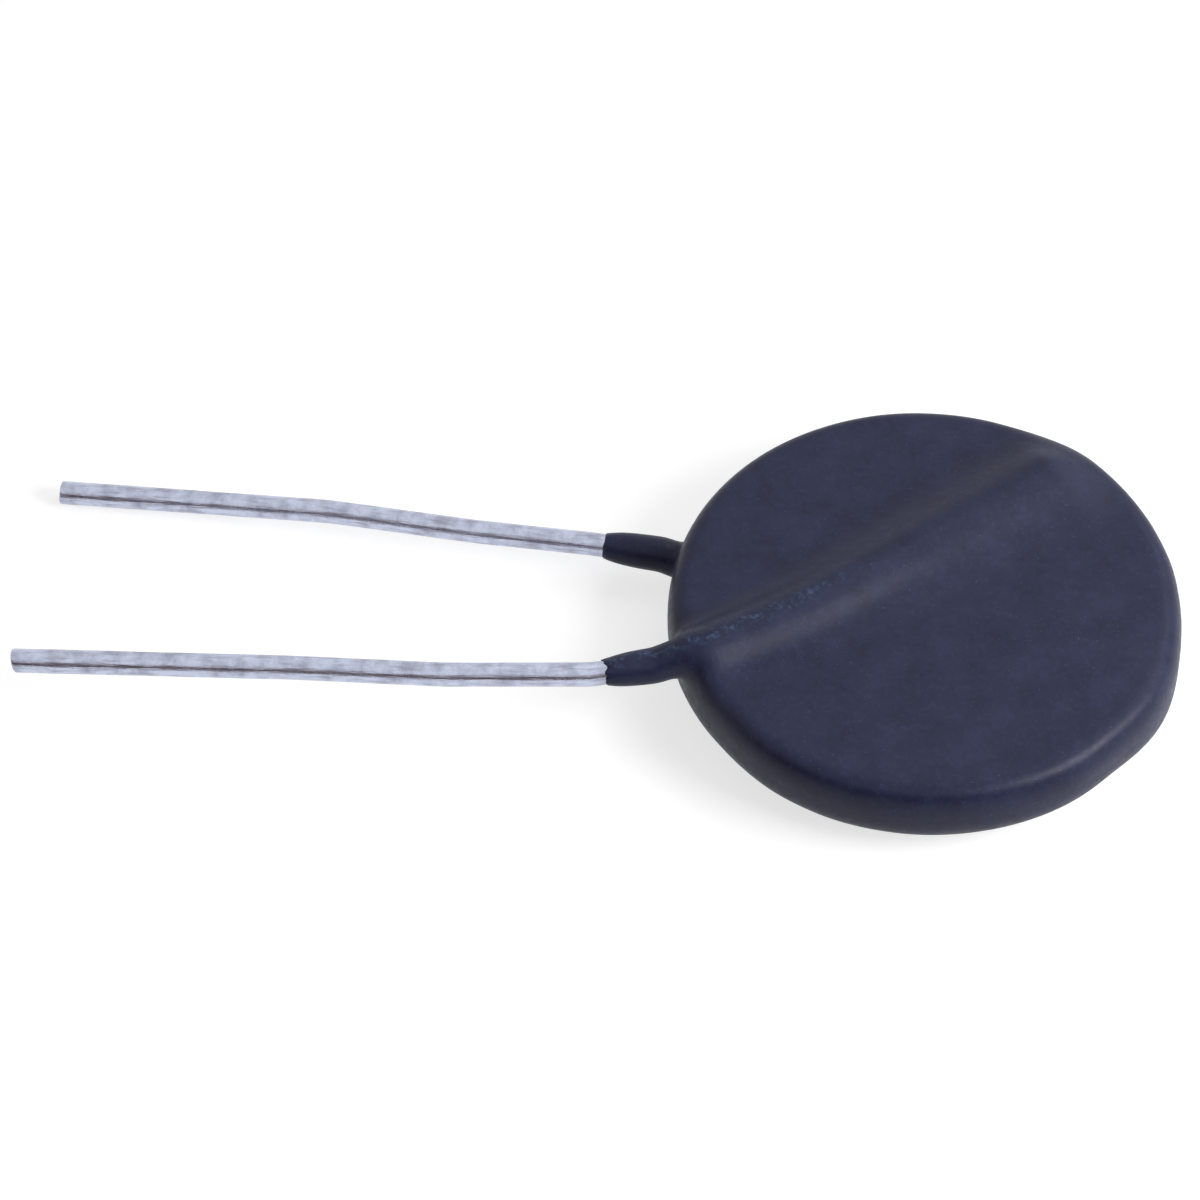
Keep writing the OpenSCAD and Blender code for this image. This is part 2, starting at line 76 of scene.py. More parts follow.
def material(name):
    """A material with its node tree and its Principled shader."""
    made = bpy.data.materials.new(name)
    made.use_nodes = True
    return made, made.node_tree, made.node_tree.nodes["Principled BSDF"]


def drive(tree, shader, colour, rough, relief):
    """Links a colour mix, a roughness and a bump to a shader. Output 2 of a mix is its colour."""
    for socket, source in (("Base Color", colour.outputs[2]), ("Roughness", rough.outputs[0]),
                           ("Normal", relief.outputs[0])):
        tree.links.new(source, shader.inputs[socket])


MM = 0.001
print("resin blue in linear light:", [round(c, 4) for c in linear("#262a46")])

# %% [markdown]
# The camera looks down on the object at 50 degrees through a long lens, so the disc is drawn as an ellipse
# with hardly any perspective. It stands 230 mm away, and 50 mm of the object's plane fill the picture.

# %% Camera
ELEVATION = np.radians(50)
DISTANCE = 230 * MM
TARGET = np.array([-0.04, 0.601, 2.965]) * MM
LENS, SENSOR = 165, 36   # mm

camera_data = bpy.data.cameras.new("camera")
camera_data.lens, camera_data.sensor_width = LENS, SENSOR
camera_data.clip_start, camera_data.clip_end = 0.01, 20
camera = bpy.data.objects.new("camera", camera_data)
camera.location = TARGET + DISTANCE * np.array([0, -np.cos(ELEVATION), np.sin(ELEVATION)])
camera.rotation_euler = (np.pi / 2 - ELEVATION, 0, 0)
bpy.context.collection.objects.link(camera)
bpy.context.scene.camera = camera
print("camera at, mm:", [round(c / MM, 1) for c in camera.location])

# %% [markdown]
# A white sweep with soft light suits a small dark part. The floor is white by its colour and by a little
# light of its own that only the camera and mirror rays see, so it stays white and still takes the part's
# shadow. The world is white to the same rays. Low down on the near side it has a dark band, as a room has
# beyond the edge of a lit table: that band is what draws the dark line along a bright round wire.

# %% Floor
FLOOR_HALF = 1.5         # half the floor's width, m
FLOOR_DROP = 0.00002     # how far the floor lies below the part, m
FLOOR_GLOW = 0.70        # strength of the floor's own light

corners = [(x * FLOOR_HALF, y * FLOOR_HALF, 0) for x, y in ((-1, -1), (1, -1), (1, 1), (-1, 1))]
floor_mesh = bpy.data.meshes.new("floor")
floor_mesh.from_pydata(corners, [], [(0, 1, 2, 3)])
floor = bpy.data.objects.new("floor", floor_mesh)
floor.location.z = -FLOOR_DROP
bpy.context.collection.objects.link(floor)

paper, tree, _ = material("white paper sweep")
seen = add(tree, "LightPath")
direct = add(tree, "Math", {0: seen.outputs["Is Camera Ray"], 1: seen.outputs["Is Glossy Ray"]},
             operation="ADD")
direct = add(tree, "Math", {0: direct.outputs[0], 1: seen.outputs["Is Transmission Ray"]},
             operation="ADD", use_clamp=True)
glow = add(tree, "Math", {0: direct.outputs[0], 1: FLOOR_GLOW}, operation="MULTIPLY")
matt = add(tree, "BsdfDiffuse", {"Color": linear("#bcbcbc")})
own_light = add(tree, "Emission", {"Color": (1, 1, 1, 1), "Strength": glow.outputs[0]})
both = add(tree, "AddShader", {0: matt.outputs[0], 1: own_light.outputs[0]})
tree.links.new(both.outputs[0], tree.nodes["Material Output"].inputs["Surface"])
floor_mesh.materials.append(paper)

# %% World and lamps
WORLD_LEVEL = 0.28       # the light that the room gives to the object
BAND_TOP = 0.62          # sine of the elevation at which the dark band ends
BAND_EDGE = 0.12         # over how much of that sine the band fades
BAND_NEAR = -0.05, -0.5  # the direction's Y where the band begins and where it is full
BAND_DEPTH = 0.88        # how much of the white the band takes away

world = bpy.data.worlds.new("white room")
world.use_nodes = True
bpy.context.scene.world = world
tree = world.node_tree
background = tree.nodes["Background"]
path = add(tree, "LightPath")
mirror = add(tree, "Math", {0: path.outputs["Is Glossy Ray"], 1: path.outputs["Is Transmission Ray"]},
             operation="ADD", use_clamp=True)
look = add(tree, "SeparateXYZ", {0: add(tree, "TexCoord").outputs["Generated"]})
low, near = (add(tree, "MapRange", {"Value": look.outputs[axis], "From Min": start, "From Max": full,
                                    "To Min": 0.0, "To Max": 1.0}, interpolation_type="SMOOTHSTEP")
             for axis, start, full in (("Z", BAND_TOP, BAND_TOP - BAND_EDGE), ("Y", *BAND_NEAR)))
band = add(tree, "Math", {0: low.outputs[0], 1: near.outputs[0]}, operation="MULTIPLY")
kept = add(tree, "Math", {0: band.outputs[0], 1: -BAND_DEPTH, 2: 1.0}, operation="MULTIPLY_ADD")
room = add(tree, "Mix", {0: mirror.outputs[0], 2: WORLD_LEVEL, 3: 1.0}, data_type="FLOAT")
room = add(tree, "Math", {0: room.outputs[0], 1: kept.outputs[0]}, operation="MULTIPLY")
shown = add(tree, "Mix", {0: path.outputs["Is Camera Ray"], 2: room.outputs[0], 3: 1.0}, data_type="FLOAT")
warm = add(tree, "Mix", {0: band.outputs[0], 6: (1, 1, 1, 1), 7: linear("#ffc9c4")}, data_type="RGBA")
plain = add(tree, "Mix", {0: path.outputs["Is Camera Ray"], 6: warm.outputs[2], 7: (1, 1, 1, 1)},
            data_type="RGBA")
tree.links.new(plain.outputs[2], background.inputs["Color"])
tree.links.new(shown.outputs[0], background.inputs["Strength"])


def lamp(name, at, size, watts):
    """A square area lamp at a place in metres, turned to the origin."""
    data = bpy.data.lights.new(name, "AREA")
    data.shape, data.size, data.energy = "SQUARE", size, watts
    made = bpy.data.objects.new(name, data)
    made.location = at
    made.rotation_euler = (-Vector(at)).to_track_quat("-Z", "Y").to_euler()
    bpy.context.collection.objects.link(made)


lamp("key lamp, right", (0.118, -0.045, 0.085), 0.08, 0.21)
lamp("fill lamp, right and behind", (0.30, 0.30, 0.45), 0.40, 0.8)
bpy.context.scene.view_settings.view_transform = "Standard"

# %% [markdown]
# The part's sizes come next, in millimetres, in a frame with the disc's middle at the origin. Each side is
# described with that side up, its wire leaving toward -X. The back's frame is the front's turned half a turn
# about X. A wire comes in along its leg, climbs over the disc's edge and lies across the ceramic's face.

# %% Sizes
COATED_R = 10.75         # the disc over its resin: radius and thickness
COATED_T = 3.0
RIM_WIDTH = 1.0          # how far in the rounded edge reaches, and its superellipse's exponent
RIM_FULLNESS = 2.6
WIRE_R = 0.5
WIRE_Z = 1.58            # a wire's height on the disc's face and on its leg
LEG_HEIGHT = 1.0
CREST_Z = 2.46           # height of a ridge's crest
SETTLE = 9.6             # radius where the leg's line ends and the run over the face starts
LIFT_OFF = 10.2          # radii between which the wire goes down from the face to the leg
LEVEL_AGAIN = 11.75
INNER_REACH = 8.2        # radius of the wire's inner end
FIRST_RUN = 4.7          # length of the run's first part
SLEEVE_REACH = 13.36     # distance of the sleeves' ends from the disc's middle, along X
FEATHER_RESIN = 0.04     # resin over the wire at a sleeve's end, and back along the sleeve
SLEEVE_RESIN = 0.26
FEATHER_LENGTH = 0.75    # length over which the one becomes the other
CREST_RESIN = 0.38       # resin over the wire along the ridge
CREST_DIP = 0.04         # how much less of it there is halfway
RIDGE_ONSET = 0.4        # how far outside the disc the ridge's resin begins
ROOT_WEB = 0.8           # width of the web at a leg's root
RIDGE_WEB = 1.5          # width of a ridge's web at its start and at the wire's inner end, both wider
RIDGE_WEB_END = 4.4      # than the solids' so that the ridge fades into the face
ROOT_FILLET = 0.5        # radius in plan between the disc and a sleeve

# One value a wire, the front's first. Angles are in plan.
LEG_Y = 3.72, 4.87                                          # the sleeve's end, off the disc's middle line
TOE = np.radians((10.4, 11.3))                              # the leg's lean
RUN = np.radians(((28.0, 34.5), (25.4, 25.4)))              # both parts of the run over the face
KINK_PAST = (0.6, 6.65, 12.95), (0.6, 5.45, 11.85)          # bends of the free length, past the sleeve's end
KINK = np.radians(((0, 3.4, 1.9), (-9.9, -12.2, -7.4)))     # the way after each bend
REACH, TIP_Z = (37.8, 36.8), (1.0, 1.96)                    # the tip's distance along X and its height
BENDS = 0, 14, 1.5, 1.5, 1.5, 4, 14, 14, 0                  # radius of the bend at each way point
FRONT, BACK = 0, 1
FLIP = np.array([1.0, -1.0, -1.0])
disc_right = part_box("resin_coating")[1][0] / MM
TO_ROW = np.array([disc_right - COATED_R, 0, CREST_Z])
print("from the disc's middle to the part's frame, mm:", TO_ROW.round(3))


# %% The wires' way points
def unit(v):
    """v / |v| along the last axis."""
    return v / np.linalg.norm(v, axis=-1, keepdims=True)


def mix(a, b, t):
    """a + (b - a) t."""
    return a + (b - a) * t


def smooth(x):
    """3 t^2 - 2 t^3, with t = x kept between 0 and 1."""
    t = np.clip(x, 0, 1)
    return t * t * (3 - 2 * t)


def way(s):
    """The way points of wire s in its own frame: the inner end, the turn on the face, three points down the
    edge, the bend past the sleeve, two kinks and the tip. A point at radius r on a line p + a t solves
    |p + a t| = r."""
    out = -np.array([np.cos(TOE[s]), np.sin(TOE[s])])
    p = np.array([-SLEEVE_REACH, -LEG_Y[s]])
    foot = p - out * (p @ out)
    on_leg = [foot + out * np.sqrt(r * r - foot @ foot) for r in (SETTLE, LIFT_OFF, LEVEL_AGAIN)]
    first = on_leg[0] + FIRST_RUN * np.array([np.cos(RUN[s][0]), np.sin(RUN[s][0])])
    d = np.array([np.cos(RUN[s][1]), np.sin(RUN[s][1])])
    inner = first + d * (np.sqrt((first @ d) ** 2 - first @ first + INNER_REACH ** 2) - first @ d)
    bend_x = SLEEVE_REACH + KINK_PAST[s][0]
    free = [foot + out * (foot[0] + bend_x) / np.cos(TOE[s])]
    for angle, x in zip(KINK[s], (SLEEVE_REACH + KINK_PAST[s][1], SLEEVE_REACH + KINK_PAST[s][2], REACH[s])):
        free.append(free[-1] + np.array([-1, np.tan(angle)]) * (x + free[-1][0]))
    sink = [mix(LEG_HEIGHT, TIP_Z[s], (-q[0] - bend_x) / (REACH[s] - bend_x)) for q in free]
    flat = [inner, first, *on_leg, *free]
    high = [WIRE_Z] * 4 + [LEG_HEIGHT] + sink
    return np.column_stack([flat, high])


def rounded(points, radii, step):
    """The same way with an arc at each bend: middle + start cos(f) + tangent r sin(f), for angles f that are
    step degrees apart or less."""
    out = [points[:1]]
    for i in range(1, len(points) - 1):
        a, b = unit(points[i] - points[i - 1]), unit(points[i + 1] - points[i])
        turn = np.arccos(np.clip(a @ b, -1, 1))
        if turn < 1e-4:
            out.append(points[i:i + 1])
            continue
        middle = points[i] + unit(b - a) * radii[i] / np.cos(turn / 2)
        start = points[i] - a * radii[i] * np.tan(turn / 2) - middle
        f = np.linspace(0, turn, max(3, int(np.ceil(np.degrees(turn) / step)) + 1))[:, None]
        out.append(middle + start * np.cos(f) + a * radii[i] * np.sin(f))
    return np.concatenate(out + [points[-1:]])


print("front wire's way, mm:", way(FRONT).round(2).tolist())
print("back wire's way, mm:", way(BACK).round(2).tolist())

# %% [markdown]
# A finished piece keeps its place in its mesh, in metres, and its object at the origin, as the CAD's own
# nodes do.

# %% Arrays into a mesh
def piece(name, points, faces, finish, stands_for, uv=None, flat=None, painted_glint=None):
    """A mesh piece from points in mm about the disc's middle. uv gives one pair a face corner, flat marks the
    faces that aren't smooth, and the last argument gives each point the strength of the painted highlight."""
    mesh = bpy.data.meshes.new(name)
    mesh.from_pydata(((points + TO_ROW) * MM).tolist(), [], faces.tolist())
    mesh.polygons.foreach_set("use_smooth", np.ones(len(faces), bool) if flat is None else ~flat)
    if uv is not None:
        mesh.uv_layers.new(name="along").data.foreach_set("uv", uv.astype(np.float32).ravel())
    if painted_glint is not None:
        mesh.attributes.new("painted_glint", "FLOAT", "POINT").data.foreach_set("value", painted_glint.astype(np.float32))
    mesh.materials.append(finish)
    made = bpy.data.objects.new(name, mesh)
    bpy.context.collection.objects.link(made)
    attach(made, "root")
    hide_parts(stands_for)
    print(name, len(mesh.vertices), "points,", len(mesh.polygons), "faces")


# %% [markdown]
# ## The wires
# Component wire is copper drawn to one millimetre and dipped in molten tin. The tin freezes in soft streaks
# along the wire, so it is bright but not a mirror, and its colour is a cool pale grey with duller patches.
# The streaks follow the wire, so the pattern reads the wire's own UV map, which counts millimetres round and
# along it.

# %% Tinned copper
TIN_STREAK = 1.6         # length of a streak, mm
TIN_GRAIN = 0.16         # width of a streak, mm


def tinned_copper():
    """Metal whose colour and roughness change from streak to streak."""
    made, tree, shader = material("tinned copper, hot dipped")
    along = add(tree, "UVMap", uv_map="along")
    stretched = add(tree, "Mapping", {"Vector": along.outputs[0],
                                      "Scale": (1 / TIN_GRAIN, 1 / TIN_STREAK, 1.0)})
    streaks = add(tree, "TexNoise", {"Vector": stretched.outputs[0], "Scale": 1.0, "Detail": 4.0,
                                     "Roughness": 0.6})
    blotch = add(tree, "TexNoise", {"Vector": along.outputs[0], "Scale": 1.1, "Detail": 5.0,
                                    "Roughness": 0.65})
    dull = add(tree, "MapRange", {"Value": blotch.outputs[0], "From Min": 0.42, "From Max": 0.68})
    grey = add(tree, "Mix", {0: dull.outputs[0], 6: linear("#c3c9de"), 7: linear("#9b9eb0")},
               data_type="RGBA")
    dark = add(tree, "MapRange", {"Value": streaks.outputs[0], "From Min": 0.52, "From Max": 0.76,
                                  "To Max": 0.75})
    tin = add(tree, "Mix", {0: dark.outputs[0], 6: grey.outputs[2], 7: linear("#7d7680")}, data_type="RGBA")
    rough = add(tree, "MapRange", {"Value": streaks.outputs[0], "From Min": 0.3, "From Max": 0.7,
                                   "To Min": 0.20, "To Max": 0.36})
    relief = add(tree, "Bump", {"Height": streaks.outputs[0], "Strength": 1.0, "Distance": 0.022 * MM})
    shader.inputs["Metallic"].default_value = 1.0
    drive(tree, shader, tin, rough, relief)
    return made


tin = tinned_copper()
print("made:", tin.name)

# %% [markdown]
# Each wire is a circle carried along its way. The circle's plane is square to the way, spanned by side = way
# x up and up' = side x way. A cutter closes the free end: it leaves a flat, slightly leaning face with a
# rolled edge, made by the last few rings, which shrink while they lean.

# %% The wires as tubes
ROUND = 56               # points round a wire
STEP = 0.25              # mm between rings on the straights
BEND_STEP = 3            # degrees between rings in a bend
WIRE_WAVE = 0.008        # share by which the radius wanders
CUT_ROLL = 0.12          # mm from the tip where the cut end's edge begins to roll
CUT_RINGS = (0.07, 0.995), (0.025, 0.96), (0.004, 0.88), (0.0, 0.45)   # mm from the tip, share of the radius
LEAN_OVER = 0.3          # length over which the rings come to lean with the cut, mm


def wire(s, name, stands_for, lean):
    """Rings of radius r (1 + WIRE_WAVE n) round the way, n a slow wave along it, then the cut end."""
    line = rounded(way(s), BENDS, BEND_STEP) * (FLIP if s == BACK else 1)
    length = np.r_[0, np.cumsum(np.linalg.norm(np.diff(line, axis=0), axis=1))]
    end, roll = length[-1], length[-1] - CUT_ROLL
    at = np.unique(np.r_[np.arange(0, roll, STEP), roll, length[:-1][length[:-1] < roll]])
    from_tip, shrink = np.array(CUT_RINGS).T
    shrink = np.r_[np.full(len(at), 1.0), shrink]
    at = np.r_[at, end - from_tip]
    middle = np.column_stack([np.interp(at, length, line[:, k]) for k in range(3)])
    forward = unit(np.gradient(middle, at, axis=0))
    side = unit(np.cross(forward, [0, 0, 1.0]))
    up = np.cross(side, forward)
    around = np.linspace(0, 2 * np.pi, ROUND, endpoint=False)
    wave = 1 + WIRE_WAVE * (np.sin(at * 0.9 + s) + np.sin(at * 2.3 + 2 * s)) / 2
    radius = WIRE_R * (shrink * wave)[:, None]
    rings = (middle[:, None] + radius[..., None] * (side[:, None] * np.cos(around)[:, None]
                                                    + up[:, None] * np.sin(around)[:, None]))
    leaning = smooth((at - end + LEAN_OVER) / LEAN_OVER)[:, None] * lean * np.sin(around) * radius
    rings = rings + forward[:, None] * leaning[..., None]
    points = np.concatenate([rings.reshape(-1, 3), middle[:1], middle[-1:]])
    i, j = np.meshgrid(np.arange(len(at) - 1), np.arange(ROUND), indexing="ij")
    k = (j + 1) % ROUND
    corner = lambda a, b: a * ROUND + b
    quads = np.stack([corner(i, j), corner(i, k), corner(i + 1, k), corner(i + 1, j)], -1).reshape(-1, 4)
    # Known fault: the sides and the caps are wound so that the wire's faces point inwards.
    halves = quads[:, [[1, 2, 0], [2, 3, 0]]].reshape(-1, 3)
    j = np.arange(ROUND)
    k = (j + 1) % ROUND
    first, last = len(points) - 2, len(points) - 1
    base = (len(at) - 1) * ROUND
    caps = np.concatenate([np.column_stack([k, j, np.full(ROUND, first)]),
                           np.column_stack([base + j, base + k, np.full(ROUND, last)])])
    faces = np.concatenate([halves, caps])
    turns = np.concatenate([np.tile(around, len(at)), [0, 0]]) * WIRE_R
    lengths = np.concatenate([np.repeat(at, ROUND), [0, at[-1]]])
    uv = np.stack([turns[faces], lengths[faces]], -1)
    around_mm, girth = uv[..., 0], 2 * np.pi * WIRE_R
    wraps = np.ptp(around_mm, axis=1) > girth / 2
    around_mm[wraps[:, None] & (around_mm < girth / 2)] += girth
    piece(name, points, faces, tin, stands_for, uv=uv)


wire(FRONT, "front_wire", "front_lead", 0.22)
wire(BACK, "back_wire", "back_lead", -0.05)

# %% [markdown]
# ## The resin's skin
# Dipped resin wets everything and pulls itself smooth, so its skin has no edges: it runs over the disc, up
# over each wire and out along each leg, with a soft web wherever two of these meet. Such a form is a field, a
# number for each point of space that is below zero inside the resin. The disc has a field and so has the bead
# round each wire, and a smooth minimum joins them. The skin is where the field is zero.

# %% The resin as a field
LINE_POINTS = 4000       # places along a bead that its tables list
CLEAR_R = 11             # radius past which the bead is on its leg, mm
HALVINGS, CLOSER = 3, 10   # steps of each kind that find the skin along a ray


def nearest(line, p):
    """The distance from p to a line of straight parts, and how far along the line that place is."""
    best, at, start = np.full(p.shape[:-1], np.inf), np.zeros(p.shape[:-1]), 0.0
    for a, b in zip(line[:-1], line[1:]):
        size = np.linalg.norm(b - a)
        u = np.clip((p - a) @ (b - a) / size ** 2, 0, 1)
        d = ((p - a - u[..., None] * (b - a)) ** 2).sum(-1)
        best, at, start = np.where(d < best, d, best), np.where(d < best, start + u * size, at), start + size
    return np.sqrt(best), at


def blend(a, b, web):
    """min(a, b) - max(0, web - |a - b|)^2 / (4 web), a smooth minimum."""
    return np.minimum(a, b) - np.maximum(web - np.abs(a - b), 0) ** 2 / (4 * web)


class Bead:
    """A wire as the resin meets it, seen with one side up: its line, its leg and the resin's thickness."""

    def __init__(self, s, up):
        keep = way(s)[:7] * (1 if up else FLIP)
        self.up = 1 if up else -1
        self.line = rounded(keep, BENDS[:7], 6)
        self.s = np.r_[0, np.cumsum(np.linalg.norm(np.diff(self.line, axis=0), axis=1))]
        self.out = unit(keep[5, :2] - keep[4, :2])
        self.foot = keep[5, :2] - self.out * (keep[5, :2] @ self.out)
        self.side = np.array([-self.out[1], self.out[0]])
        self.fine = np.linspace(0, self.s[-1], LINE_POINTS)
        self.xy = np.column_stack([np.interp(self.fine, self.s, self.line[:, k]) for k in (0, 1)])
        self.r = np.linalg.norm(self.xy, axis=1)
        self.tip_t = (-SLEEVE_REACH - self.foot[0]) / self.out[0]
        self.s_tip = self.fine[np.argmax((self.xy @ self.out > self.tip_t) & (self.r > CLEAR_R))]
        late = self.fine > self.s[-1] * 0.4
        self.s_settle = self.fine[late][np.argmax(self.r[late] > SETTLE)]

    def height(self, t):
        """The wire's height at distance t along its leg: level outside, climbing over the disc's edge."""
        r = np.linalg.norm(self.foot + self.out * np.asarray(t)[..., None], axis=-1)
        return self.up * np.interp(r, [LIFT_OFF, LEVEL_AGAIN], [WIRE_Z, LEG_HEIGHT])

    def resin(self, s):
        """Radius of the resin round the wire at length s, and its web's width. 1 - e^-u feathers the end."""
        r = np.where(s > self.s_settle - 4, np.interp(s, self.fine, self.r), 0)
        on = smooth((COATED_R + RIDGE_ONSET - r) / (COATED_R + RIDGE_ONSET - SETTLE))
        f = np.clip((self.s_settle - s) / self.s_settle, 0, 1)
        web = mix(ROOT_WEB, mix(RIDGE_WEB, RIDGE_WEB_END, f), on)
        h = CREST_Z - COATED_T / 2
        sunk = np.where(web > h, (np.sqrt(web) - np.sqrt(h)) ** 2, 0)
        sleeve = FEATHER_RESIN + (SLEEVE_RESIN - FEATHER_RESIN) * (
            1 - np.exp(-np.maximum(self.s_tip - s, 0) / FEATHER_LENGTH))
        over = CREST_RESIN - SLEEVE_RESIN - sunk - CREST_DIP * 4 * f * (1 - f)
        return WIRE_R + sleeve + on * over, web


# A drip or a finger mark leaves the outline a few hundredths of a millimetre out of round.
SWELLS = ((36, 9, 0.07), (336, 9, 0.08), (57, 8, -0.07), (315, 8, -0.06), (0, 10, -0.05), (215, 14, -0.10))


def disc_radius(angle):
    """The disc's radius: COATED_R + sum of a e^-((angle - c) / w)^2 over the swells, c and w in degrees and
    a in mm."""
    away = [(np.degrees(angle) - c + 180) % 360 - 180 for c, w, a in SWELLS]
    return COATED_R + sum(a * np.exp(-(d / w) ** 2) for d, (c, w, a) in zip(away, SWELLS))


def disc_field(p):
    """(n - 1) / slope, where n = (a^e + b^e)^(1/e) is 1 on a disc whose rounded edge is a superellipse."""
    r = disc_radius(np.arctan2(p[..., 1], p[..., 0]))
    a = np.maximum(np.hypot(p[..., 0], p[..., 1]) - (r - RIM_WIDTH), 0) / RIM_WIDTH
    b = np.abs(p[..., 2]) / (COATED_T / 2)
    e = RIM_FULLNESS
    n = np.maximum((a ** e + b ** e) ** (1 / e), 1e-6)
    slope = np.hypot((a / n) ** (e - 1) / RIM_WIDTH, (b / n) ** (e - 1) / (COATED_T / 2))
    return (n - 1) / np.maximum(slope, 0.05)


def field(p, beads):
    """The disc's field joined to each bead's."""
    f = disc_field(p)
    for bead in beads:
        d, s = nearest(bead.line, p)
        radius, web = bead.resin(s)
        f = blend(f, d - radius, web)
    return f


def leave(origin, ray, beads, reach=5.0):
    """Where rays leave the resin, all at once: some halvings, then false position with the Illinois rule."""
    at = lambda t: field(origin + ray * t[..., None], beads)
    lo, hi = np.zeros(origin.shape[:-1]), np.full(origin.shape[:-1], reach)
    f_lo, f_hi = at(lo), at(hi)
    for _ in range(HALVINGS):
        m = (lo + hi) / 2
        f = at(m)
        inside = f < 0
        lo, f_lo = np.where(inside, m, lo), np.where(inside, f, f_lo)
        hi, f_hi = np.where(inside, hi, m), np.where(inside, f_hi, f)
    last = np.zeros(lo.shape)
    for _ in range(CLOSER):
        m = hi - f_hi * (hi - lo) / (f_hi - f_lo)
        f = at(m)
        inside = f < 0
        f_hi = np.where(inside & (last == -1), f_hi / 2, np.where(inside, f_hi, f))
        f_lo = np.where(~inside & (last == 1), f_lo / 2, np.where(inside, f, f_lo))
        lo, hi, last = np.where(inside, m, lo), np.where(inside, hi, m), np.where(inside, -1, 1)
    return origin + ray * m[..., None]


BEADS = {FRONT: [Bead(FRONT, True), Bead(BACK, False)], BACK: [Bead(BACK, True), Bead(FRONT, False)]}
crest = leave(np.array([[0.0, 0, 0], *np.column_stack([BEADS[FRONT][0].xy[[800, 1600]], [0, 0]])]),
              np.tile([0.0, 0, 1], (3, 1)), BEADS[FRONT])[:, 2]
print("height of the face at the middle and of the ridge at two places, mm:", crest.round(3))

# %% [markdown]
# The mesh's layout is given here, because a good layout follows the form. Rays leave a core inside the resin
# in columns round the outline. Each column starts with rays that fan up round the edge and goes on with
# upright rays to a line under the wires, so the crest of each ridge is a line of the mesh and no face bridges
# it. The numbers below count the columns and rays. FINE multiplies them all.

# %% The net of columns
FINE = 4
STATIONS, FILLETS, RIM, GAP = 7 * FINE, 4 * FINE, 88 * FINE, 14 * FINE
EDGE_ROWS, ROWS = 6 * FINE, 16 * FINE
ROOT = STATIONS + FILLETS
BRANCH, CROSSING = ROOT + 7 * FINE, 6 * FINE
NODES = BRANCH + 19 * FINE
OTHER = NODES + 1
JOIN = OTHER + ROOT + CROSSING
COUNT = 4 * (STATIONS + 1) + 4 * FILLETS + RIM + GAP + 2
HALF_WAY = 2 * STATIONS + 2 * FILLETS + RIM + 2
SLEEVE_W = WIRE_R + SLEEVE_RESIN
OVER_EDGE = RIM_WIDTH + ROOT_FILLET + 0.25
FLANK, FAN = 3.2, np.radians(14)


def fillet_middle(bead, e):
    """Centre of the outline's fillet on side e of a leg, a fillet's radius outside both disc and sleeve."""
    n = bead.side * e
    across, out = bead.foot @ n + SLEEVE_W + ROOT_FILLET, COATED_R + ROOT_FILLET
    return n * across + bead.out * np.sqrt(out ** 2 - across ** 2)


def root_at(bead):
    """Distance along the leg to its root, the farther of its two fillets' centres."""
    return max(fillet_middle(bead, 1) @ bead.out, fillet_middle(bead, -1) @ bead.out)


def stations_of(bead):
    """Distances along the leg from the sleeve's end to its root, closer together toward the end."""
    return mix(bead.tip_t, root_at(bead), (np.arange(STATIONS + 1) / STATIONS) ** 0.85)


def share_at(j):
    """How much the column or point number j past a leg's root is still the leg's."""
    return 1 - smooth(j / (FILLETS + 1))


def leg_columns(bead, e, backward):
    """Column starts (x, y, z), ways in (x, y) and shares along one side of a sleeve."""
    t = stations_of(bead)[::-1] if backward else stations_of(bead)
    start = np.column_stack([bead.foot + bead.out * t[:, None], bead.height(t)])
    return start, np.tile(-bead.side * e, (len(t), 1)), np.ones(len(t))


def fillet_columns(bead, e, backward):
    """The same round a fillet: the way in turns from the leg's side to the disc's middle."""
    j = np.arange(1, FILLETS + 1)[::-1 if backward else 1]
    m = fillet_middle(bead, e)
    v = unit(mix(-bead.side * e, -unit(m), (j / (FILLETS + 1))[:, None]))
    turn = v @ (-bead.side * e)
    room = np.minimum(RIM_WIDTH, (SLEEVE_W + ROOT_FILLET * (1 - turn)) / np.maximum(0.1, turn))
    start = m + v * (ROOT_FILLET + room)[:, None]
    return np.column_stack([start, share_at(j) * bead.height(root_at(bead))]), v, share_at(j)


def rim_columns(a):
    """The same at azimuths a of the disc's rim."""
    v = np.column_stack([np.cos(a), np.sin(a)])
    return np.column_stack([v * (COATED_R - RIM_WIDTH), 0 * a]), -v, 0 * a


def azimuth(p, after=-np.inf):
    """The angle of p about the disc's middle, with whole turns added until it is past after."""
    a = np.arctan2(p[1], p[0])
    return a + 2 * np.pi * max(0, np.ceil((after - a) / (2 * np.pi))) if np.isfinite(after) else a


